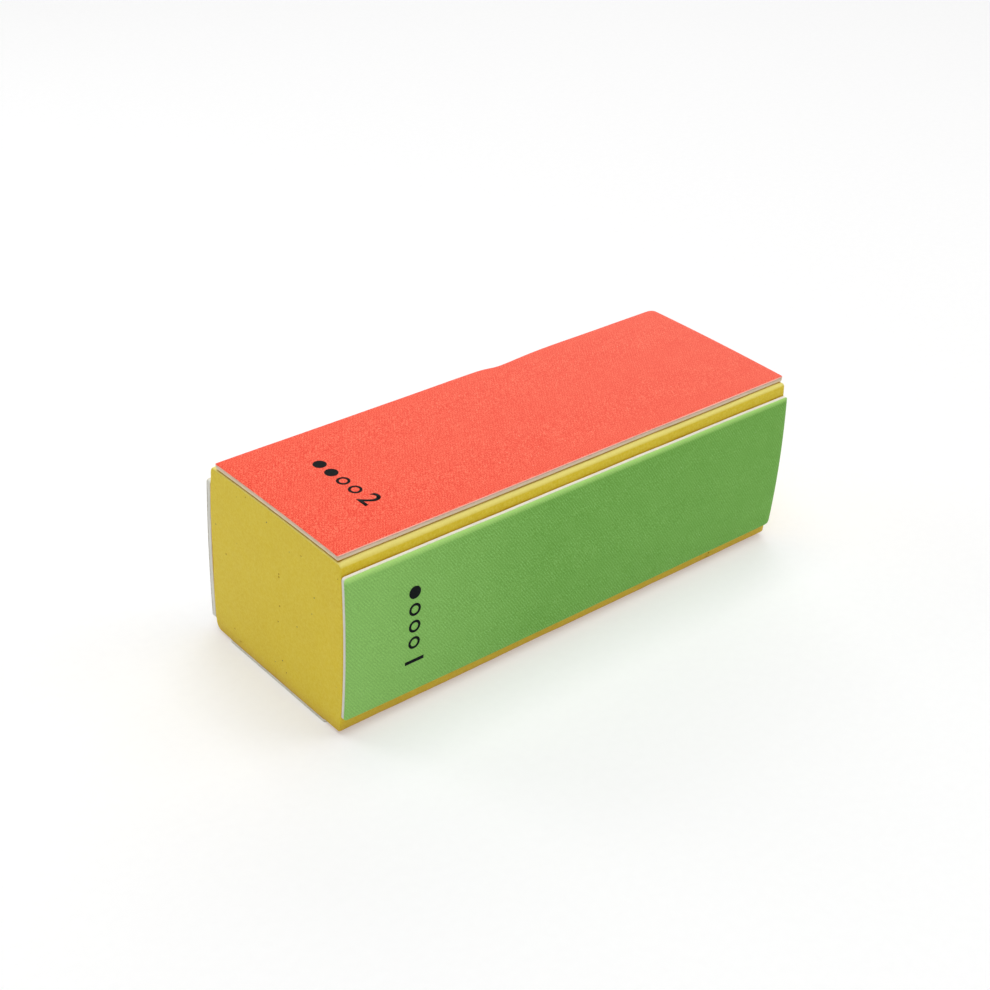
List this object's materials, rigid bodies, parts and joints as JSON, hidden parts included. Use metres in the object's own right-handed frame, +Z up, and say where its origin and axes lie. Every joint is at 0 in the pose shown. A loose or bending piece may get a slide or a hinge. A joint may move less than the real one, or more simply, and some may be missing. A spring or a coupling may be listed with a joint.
{
  "type": "nail buffer block",
  "caption": "Rectangular foam nail buffer block with rounded edges and a padded, coloured abrasive strip on each long side.",
  "frame": {"origin": "on the resting surface, under the middle of the bounding box", "axes": "+X along the block, away from the end nearest the printed marks; +Y from the green side to the white side; +Z up, from the grey strip that it rests on to the coral strip"},
  "size_m": [0.09, 0.0344, 0.0308],
  "materials": {
    "yellow_foam": "fine closed-cell EVA foam, matt with a faint satin bloom",
    "white_foam": "soft white foam, matt, cut edges",
    "adhesive_film": "translucent adhesive film, seen only as a thin line at the cut edges",
    "green_cloth": "fine twill cloth with a grit coat, matt",
    "coral_abrasive": "fine twill cloth with a coral grit coat, matt with tiny glints",
    "white_abrasive": "fine twill cloth with a very fine white grit coat, matt",
    "grey_buffing_sheet": "smooth grey buffing sheet, soft satin"
  },
  "bodies": {
    "root": {"foam_core": "yellow_foam", "front_mounting_film": "adhesive_film", "front_backing_pad": "white_foam", "front_bonding_film": "adhesive_film", "front_abrasive_sheet": "green_cloth", "top_mounting_film": "adhesive_film", "top_backing_pad": "white_foam", "top_bonding_film": "adhesive_film", "top_abrasive_sheet": "coral_abrasive", "back_mounting_film": "adhesive_film", "back_backing_pad": "white_foam", "back_bonding_film": "adhesive_film", "back_abrasive_sheet": "white_abrasive", "bottom_mounting_film": "adhesive_film", "bottom_backing_pad": "white_foam", "bottom_bonding_film": "adhesive_film", "bottom_abrasive_sheet": "grey_buffing_sheet"}
  },
  "joints": []
}
